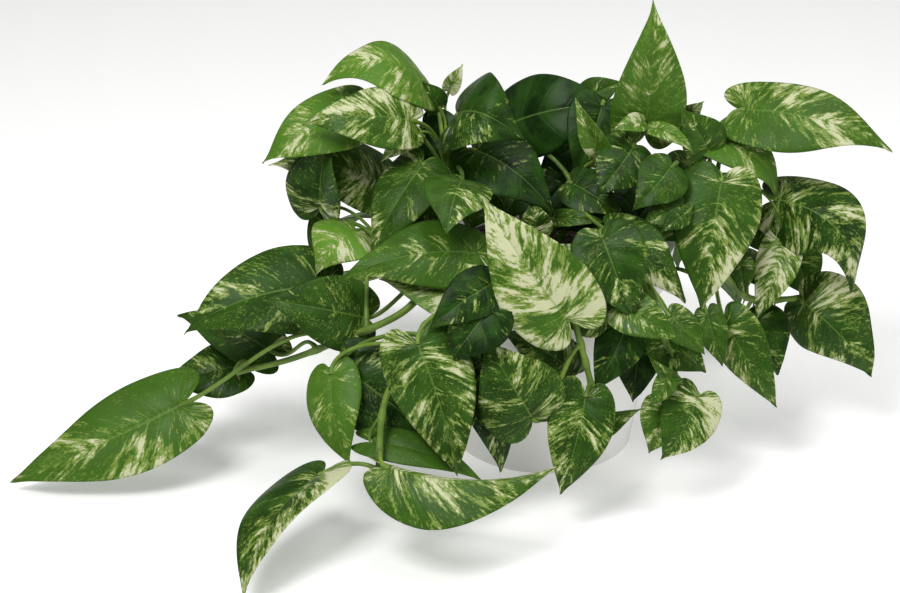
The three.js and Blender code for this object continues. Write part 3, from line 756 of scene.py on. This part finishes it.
def bend_blade(leaf, x, y, along, side):
    """Places in millimetres of points of the flat blade."""
    forward, across, up, length = leaf_frame(leaf)
    half = leaf["width"] / 2
    out = np.abs(y)
    fold = np.radians(np.where(y > 0, leaf["left"], leaf["right"]))
    angle = fold + np.radians(leaf["curl"]) * out
    middle = fold + np.radians(leaf["curl"]) * out / 2
    level = np.sign(y) * out * half * np.cos(middle)
    rise = out * half * np.sin(middle)
    rise -= GROOVE_DEPTH * np.exp(-(out / GROOVE_WIDTH) ** 2) * (1 - along) ** 0.5
    quilt = np.cos(2 * np.pi * SIDE_VEINS * along)
    quilt *= np.sin(np.pi * np.clip(np.abs(side), 0, 1)) ** 0.7
    rise -= QUILT_HEIGHT * quilt * (half / USUAL_HALF) * (1 - 0.6 * along)
    ripple = np.sin(2 * np.pi * (WAVES * along + leaf["wave_start"] + 0.25 * (y > 0)))
    rise += leaf["wave"] * ripple * np.abs(side) ** 3 * (half / USUAL_HALF)
    slope = np.arctan(4 * leaf["arch"] * (1 - 2 * x))
    height = 4 * leaf["arch"] * x * (1 - x) * length
    height -= leaf["nod"] * length * np.clip((x - NOD_START) / (1 - NOD_START), 0, 1) ** 2
    run = x * length - rise * np.sin(slope)
    lift = height + rise * np.cos(slope)
    drift = level + leaf["sway"] * 4 * x * (1 - x) * length
    base = np.array(leaf["base"])
    return base + np.outer(run, forward) + np.outer(lift, up) + np.outer(drift, across)


def read_numbers(mesh, name):
    values = np.empty(len(mesh.vertices))
    mesh.attributes[name].data.foreach_get("value", values)
    return values


flat_places = read_places(master_blade.data)
flat_along = read_numbers(master_blade.data, "along")
flat_side = read_numbers(master_blade.data, "side")
print("blade points:", len(flat_places))


# %% One leaf
BLADE_THICKNESS = 0.45


def make_leaf(leaf, name):
    """A copy of the flat blade, bent into place and given its thickness and its two finishes."""
    mesh = master_blade.data.copy()
    places = bend_blade(leaf, flat_places[:, 0], flat_places[:, 1], flat_along, flat_side) * MM
    mesh.vertices.foreach_set("co", places.ravel())
    same = np.ones(len(mesh.vertices))
    store_numbers(mesh, "cream", leaf["cream"] + leaf["lean"] * flat_side)
    store_numbers(mesh, "light", leaf["light"] * same)
    store_numbers(mesh, "seed", leaf["seed"] * same)
    mesh.materials.append(leaf_upper)
    mesh.materials.append(leaf_under)
    mesh.shade_smooth()
    piece = add_object(name, mesh)
    wall = piece.modifiers.new("thickness", "SOLIDIFY")
    wall.thickness = BLADE_THICKNESS * MM
    wall.offset = -1
    wall.material_offset = 1
    apply_modifiers(piece)
    return piece


# %% All the leaves
leaves = {row[0]: read_leaf(row) for row in LEAF_ROWS + SMALL_LEAF_ROWS}
small = [row[0] for row in SMALL_LEAF_ROWS]
worst = (0, "")
for name, leaf in leaves.items():
    node = "leaf_" + name
    piece = make_leaf(leaf, "blade_" + name)
    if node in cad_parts:
        hand_over(piece, "leaf", node)
        low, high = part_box(node)
        corners = np.array(piece.bound_box)
        miss = max(np.abs(corners.min(0) - low).max(), np.abs(corners.max(0) - high).max())
        worst = max(worst, (miss, node))
    elif name in small:
        hand_over(piece, "leaf")
    else:
        hand_over(piece, "leaf", "stem_" + leaf["stem"])
bpy.data.objects.remove(master_blade)
print("leaves:", len(leaves))
print("furthest from its solid's box:", worst[1], round(worst[0] / MM, 1), "mm")


# %% [markdown]
# ## Stems and stalks
# The stems are round and green, with a ring at each node where a leaf grows. Old stretches near
# the soil turn brown and corky. Each leaf's stalk rises from its node in a bow, is widest where it
# clasps the stem and thickens again just under the blade. Plain cylinders would show corners
# where they meet. Curves with a round section take a width that changes along them, and are
# then turned into meshes and joined.

# %% Stem finish
OLD_GREEN = (0.055, 0.120, 0.012, 1)
YOUNG_GREEN = (0.150, 0.25, 0.032, 1)
STREAK_GREEN = (0.23, 0.31, 0.075, 1)
BARK_DARK = (0.035, 0.022, 0.010, 1)
BARK_LIGHT = (0.14, 0.095, 0.045, 1)


def stem_material():
    material, tree, shader = new_material("stem_skin")
    place = own_place(tree)
    blotch = noise(tree, place, 70.0, 5.0, 0.6)
    streak = noise(tree, place, 420.0, 3.0, 0.5)
    green = blend_colours(tree, ramp_up(tree, blotch, 0.35, 0.7), OLD_GREEN, YOUNG_GREEN)
    green = blend_colours(tree, maths(tree, "MULTIPLY", streak, 0.35), green, STREAK_GREEN)
    barked = maths(tree, "ADD", own_number(tree, "bark"), maths(tree, "MULTIPLY", blotch, 0.6))
    bark_mask = ramp_up(tree, barked, 0.75, 1.05)
    bark = blend_colours(tree, streak, BARK_DARK, BARK_LIGHT)
    colour = blend_colours(tree, bark_mask, green, bark)
    paint(tree, shader, colour, maths(tree, "MULTIPLY_ADD", bark_mask, 0.4, 0.38))
    shader.inputs["Specular IOR Level"].default_value = 0.2
    rough = maths(tree, "MULTIPLY", streak, maths(tree, "MULTIPLY_ADD", bark_mask, 1.5, 0.25))
    set_bump(tree, shader, rough, 0.5, 0.0005)
    return material


stem_skin = stem_material()
print("stem finish:", stem_skin.name)


# %% Round curves
ROD_ROUNDING = 3


def round_rod(name, places, radii, bark):
    """A closed rod along places (mm), with a radius and a share of bark at each place."""
    curve = bpy.data.curves.new(name, "CURVE")
    curve.dimensions = "3D"
    curve.bevel_depth = MM
    curve.bevel_resolution = ROD_ROUNDING
    curve.use_fill_caps = True
    spline = curve.splines.new("POLY")
    spline.points.add(len(places) - 1)
    for point, place, radius in zip(spline.points, places, radii):
        point.co = (*(place * MM), 1)
        point.radius = radius
    rod = add_object(name, curve)
    choose(rod)
    bpy.ops.object.convert(target="MESH")
    mesh = rod.data
    gaps = np.linalg.norm(read_places(mesh)[:, None] - places[None] * MM, axis=2)
    store_numbers(mesh, "bark", np.asarray(bark, float)[gaps.argmin(axis=1)])
    mesh.materials.clear()
    mesh.materials.append(stem_skin)
    mesh.shade_smooth()
    return rod


print("a rod's section has", 4 + 2 * ROD_ROUNDING, "sides")


# %% The stalks
STEM_RADIUS = 2.3         # in millimetres, as are the next two
STALK_RADIUS = 1.15
NODE_SWELL = 0.5
STEM_STEPS = 120
STALK_STEPS = 24
STALK_RISE = 0.3          # how far a stalk bows upwards, as a share of its reach
STALK_RUN = 0.35          # how much of it already points along the blade


def stem_line(name):
    return smooth_line(STEMS[name], STEM_STEPS)


def leaves_on(name):
    return [leaf for leaf in leaves.values() if leaf["stem"] == name]


def stem_place(name, share):
    line = stem_line(name)
    return line[int(round(share * (len(line) - 1)))]


def stalk_line(leaf):
    forward, _, up, _ = leaf_frame(leaf)
    start = stem_place(leaf["stem"], leaf["at"])
    end = np.array(leaf["base"])
    reach = np.linalg.norm(end - start)
    arrival = np.array((forward + up * 4 * leaf["arch"]).normalized())
    lifted = start + STALK_RISE * (end - start) + np.array((0, 0, STALK_RISE * reach))
    before = end - STALK_RUN * reach * arrival
    share = np.linspace(0, 1, STALK_STEPS)[:, None]
    rest = 1 - share
    line = rest**3 * start + 3 * rest**2 * share * lifted
    line += 3 * rest * share**2 * before + share**3 * end
    # It ends a little under the blade, so that it doesn't stand out above the midrib.
    return line - share * np.array(up) * STALK_RADIUS * 0.6


def make_stalk(leaf):
    line = stalk_line(leaf)
    share = np.linspace(0, 1, STALK_STEPS)
    size = min(1.0, 0.55 + leaf["width"] / 80)
    clasp = 0.7 * np.exp(-(share / 0.08) ** 2)
    knee = 0.22 * np.exp(-((share - 0.95) / 0.05) ** 2)
    radii = STALK_RADIUS * size * (1 + clasp + knee)
    return round_rod("stalk_" + leaf["name"], line, radii, np.clip(0.25 - share, 0, 1))


print("first stalk starts at", stalk_line(leaves["a1"])[0].round(1))


# %% The stems
def make_stem(name):
    share = np.linspace(0, 1, STEM_STEPS)
    radii = STEM_RADIUS * (1 - 0.35 * share)
    own = leaves_on(name)
    for leaf in own:
        radii += NODE_SWELL * np.exp(-((share - leaf["at"]) * STEM_STEPS / 2.5) ** 2)
    bark = np.clip(1.0 - share / 0.45, 0, 1) * 0.9
    rods = [round_rod("rod_" + name, stem_line(name), radii, bark)]
    rods += [make_stalk(leaf) for leaf in own]
    return join(rods, "vine_" + name)


for name in STEMS:
    hand_over(make_stem(name), "stem", "stem_" + name)
print("stems:", len(STEMS))


# %% [markdown]
# ## Aerial roots
# Under each node a pothos grows a short brown root, with which it would cling to a tree. On a
# potted plant they stay stubs. A stub could be painted on, but it shows at the stem's edge, so
# each one is a thin rod that narrows to its end and bends down.

# %% Aerial roots
def root_material():
    material, tree, shader = new_material("root_skin")
    grain = noise(tree, own_place(tree), 600.0, 3.0, 0.6)
    brown = blend_colours(tree, grain, (0.05, 0.035, 0.018, 1), (0.16, 0.12, 0.06, 1))
    tree.links.new(brown, shader.inputs["Base Color"])
    shader.inputs["Roughness"].default_value = 0.85
    set_bump(tree, shader, grain, 0.6, 0.0004)
    return material


def make_roots(name):
    """One short brown root under each node of a stem."""
    dice = random.Random("roots " + name)
    rods = []
    for leaf in leaves_on(name):
        start = stem_place(name, leaf["at"])
        reach = dice.uniform(2.8, 4.2)
        push = np.array((dice.uniform(-1, 1), dice.uniform(-1, 1), -1.2))
        push *= reach / np.linalg.norm(push)
        share = np.linspace(0, 1, 7)
        bend = np.outer(share**2, (0, 0, -0.3 * reach))
        line = start + np.outer(share, push) + bend
        rods.append(round_rod("root", line, 0.9 * (1 - 0.75 * share), share))
    roots = join(rods, "roots_" + name)
    roots.data.materials.clear()
    roots.data.materials.append(root_skin)
    return roots


root_skin = root_material()
for name in STEMS:
    hand_over(make_roots(name), "stem")
print("root tufts:", len(STEMS))


# %% [markdown]
# ## The soil
# Potting mix is a crumbly mound of dark peat with bits of bark and a few white grains in it.
# A bumpy surface alone looks like a carpet, so loose crumbs lie on it. The bed is a grid drawn
# into a disc, roughened, and given its depth with an extrusion. One crumb is modelled from a
# small ball and copied over the bed in many sizes.

# %% Soil finish
def crumb_material(name, dark, light, scale):
    material, tree, shader = new_material(name)
    grain = noise(tree, own_place(tree), scale, 6.0, 0.7)
    colour = blend_colours(tree, ramp_up(tree, grain, 0.35, 0.7), dark, light)
    paint(tree, shader, colour, maths(tree, "MULTIPLY_ADD", grain, -0.25, 1.0))
    set_bump(tree, shader, grain, 0.8, 0.001)
    return material


peat = crumb_material("peat", (0.006, 0.0038, 0.0022, 1), (0.045, 0.028, 0.017, 1), 260.0)
bark_chip = crumb_material("bark_chip", (0.03, 0.016, 0.008, 1), (0.15, 0.085, 0.04, 1), 300.0)
white_grain = crumb_material("white_grain", (0.45, 0.43, 0.38, 1), (0.75, 0.73, 0.68, 1), 500.0)
print("soil finishes:", peat.name, bark_chip.name, white_grain.name)


# %% The bed
soil_low, soil_high = (np.array(corner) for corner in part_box("soil"))
SOIL_RADIUS = float(soil_high[0])
SOIL_FOOT_RADIUS = 0.0472
SOIL_RISE = 3 * MM
SOIL_EDGE = float(soil_high[2]) - SOIL_RISE
SOIL_LUMPS_PER_METRE = 90
SOIL_ROUGHNESS = 1.1 * MM
BED_STEPS = 70
BED_DROP = 0.09


def soil_height(x, y):
    mound = SOIL_RISE * max(0.0, 1 - (x * x + y * y) / SOIL_RADIUS**2)
    rough = lumps.fractal(Vector((x, y, 0)) * SOIL_LUMPS_PER_METRE, 1.0, 2.0, 5)
    return SOIL_EDGE + mound * 0.6 + rough * SOIL_ROUGHNESS


clear_selection()
bpy.ops.mesh.primitive_grid_add(x_subdivisions=BED_STEPS, y_subdivisions=BED_STEPS, size=2)
bed = bpy.context.object
bed.name = "soil_bed"
for corner in bed.data.vertices:
    x, y = corner.co.x, corner.co.y
    x, y = x * math.sqrt(1 - y * y / 2), y * math.sqrt(1 - x * x / 2)
    x, y = x * SOIL_RADIUS, y * SOIL_RADIUS
    corner.co = (x, y, soil_height(x, y))
with editing(bed):
    bpy.ops.mesh.extrude_region_move(TRANSFORM_OT_translate={"value": (0, 0, -BED_DROP)})
narrow = SOIL_FOOT_RADIUS / SOIL_RADIUS
for corner in bed.data.vertices:
    if corner.co.z < SOIL_EDGE / 2:
        corner.co = (corner.co.x * narrow, corner.co.y * narrow, float(soil_low[2]))
with editing(bed):
    bpy.ops.mesh.normals_make_consistent(inside=False)
bed.data.shade_smooth()
bed.data.materials.append(peat)
print("soil bed faces:", len(bed.data.polygons))


# %% The crumbs
CRUMBS = 420
WHITE_SHARE = 0.06
BARK_SHARE = 0.29
dice = random.Random(11)
clear_selection()
bpy.ops.mesh.primitive_ico_sphere_add(subdivisions=1, radius=1)
crumb = bpy.context.object
with editing(crumb):
    bpy.ops.transform.vertex_random(offset=0.25, seed=4)
crumbs = []
for _ in range(CRUMBS):
    copy = add_object("crumb", crumb.data.copy())
    turn = dice.uniform(0, 2 * math.pi)
    far = (SOIL_RADIUS - 3 * MM) * math.sqrt(dice.random())
    x, y = far * math.cos(turn), far * math.sin(turn)
    size = dice.uniform(0.7, 2.1) * MM
    copy.location = (x, y, soil_height(x, y) + size * 0.2)
    copy.scale = (size * dice.uniform(0.8, 1.7), size, size * dice.uniform(0.5, 0.8))
    copy.rotation_euler = (dice.uniform(-0.5, 0.5), dice.uniform(-0.5, 0.5), dice.uniform(0, 6.3))
    kind = dice.random()
    if kind < WHITE_SHARE:
        copy.data.materials.append(white_grain)
    elif kind < WHITE_SHARE + BARK_SHARE:
        copy.data.materials.append(bark_chip)
    else:
        copy.data.materials.append(peat)
    crumbs.append(copy)
bpy.data.objects.remove(crumb)
choose(crumbs[0])
for copy in crumbs:
    copy.select_set(True)
bpy.ops.object.transform_apply(location=True, rotation=True, scale=True)
soil = join([bed] + crumbs, "soil_bed")
hand_over(soil, "soil", "soil")
print("crumbs:", CRUMBS)


# %% [markdown]
# ## The pot
# The pot is plain glazed earthenware: a tapered wall, a thicker collar at the rim, and drain
# holes in the floor. It could be two cylinders, one cut out of the other, but a potter turns
# it, and so does this lesson: one half of its section is drawn once and spun round the axis.
# Then the drain holes are cut, and the edges are rounded a little, as a glaze rounds them.

# %% Glaze
THICK_GLAZE = (0.82, 0.81, 0.79, 1)
THIN_GLAZE = (0.74, 0.73, 0.70, 1)
CLAY_SPECK = (0.52, 0.47, 0.40, 1)


def glaze_material():
    material, tree, shader = new_material("white_glaze")
    place = own_place(tree)
    cloud = noise(tree, place, 18.0, 4.0, 0.55)
    speck = noise(tree, place, 900.0, 2.0, 0.5)
    tone = blend_colours(tree, ramp_up(tree, cloud, 0.3, 0.7), THIN_GLAZE, THICK_GLAZE)
    tone = blend_colours(tree, ramp_up(tree, speck, 0.74, 0.80), tone, CLAY_SPECK)
    paint(tree, shader, tone, maths(tree, "MULTIPLY_ADD", cloud, 0.18, 0.22))
    set_bump(tree, shader, noise(tree, place, 45.0, 2.0, 0.5), 0.25, 0.001)
    shader.inputs["Coat Weight"].default_value = 0.4
    shader.inputs["Coat Roughness"].default_value = 0.12
    return material


glaze = glaze_material()
print("glaze:", glaze.name)


# %% The pot's section
POT_HEIGHT = float(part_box("pot")[1][2])
RIM_RADIUS = float(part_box("pot")[1][0])
FOOT_RADIUS = 0.050
WALL = 0.004
FLOOR = 0.005
COLLAR = 0.022
COLLAR_STEP = 0.003
SPIN_STEPS = 96


def outer_radius(height):
    return FOOT_RADIUS + (RIM_RADIUS - COLLAR_STEP - FOOT_RADIUS) * height / POT_HEIGHT


collar_foot = POT_HEIGHT - COLLAR
section = [
    (0, 0), (FOOT_RADIUS, 0), (outer_radius(collar_foot), collar_foot),
    (outer_radius(collar_foot) + COLLAR_STEP, collar_foot), (RIM_RADIUS, POT_HEIGHT),
    (outer_radius(POT_HEIGHT) - WALL, POT_HEIGHT), (outer_radius(FLOOR) - WALL, FLOOR), (0, FLOOR),
]
outline = bpy.data.meshes.new("pot")
steps = [(corner, corner + 1) for corner in range(len(section) - 1)]
outline.from_pydata([(x, 0, z) for x, z in section], steps, [])
pot = add_object("pot_body", outline)
with editing(pot):
    bpy.ops.mesh.spin(steps=SPIN_STEPS, angle=2 * math.pi, center=(0, 0, 0), axis=(0, 0, 1))
    bpy.ops.mesh.select_all(action="SELECT")
    bpy.ops.mesh.remove_doubles(threshold=1e-6)
    bpy.ops.mesh.normals_make_consistent(inside=False)
print("pot faces after the spin:", len(pot.data.polygons))


# %% Drain holes and rounded edges
DRAIN_RADIUS = 0.005
DRAIN_RING = 0.026
DRAIN_HOLES = 4
EDGE_ROUNDING = 0.0009

for hole in range(DRAIN_HOLES):
    turn = 2 * math.pi * hole / DRAIN_HOLES + math.pi / 4
    clear_selection()
    bpy.ops.mesh.primitive_cylinder_add(
        vertices=32, radius=DRAIN_RADIUS, depth=4 * FLOOR,
        location=(DRAIN_RING * math.cos(turn), DRAIN_RING * math.sin(turn), 0),
    )
    drill = bpy.context.object
    cut = pot.modifiers.new("drain", "BOOLEAN")
    cut.operation = "DIFFERENCE"
    cut.object = drill
    cut.solver = "EXACT"
    apply_modifiers(pot)
    bpy.data.objects.remove(drill)
edges = pot.modifiers.new("soft_edges", "BEVEL")
edges.width = EDGE_ROUNDING
edges.segments = 3
edges.limit_method = "ANGLE"
edges.angle_limit = math.radians(35)
apply_modifiers(pot)
choose(pot)
bpy.ops.object.shade_smooth_by_angle(angle=math.radians(40))
pot.data.materials.append(glaze)
hand_over(pot, "glaze", "pot")
print("pot faces:", len(pot.data.polygons))
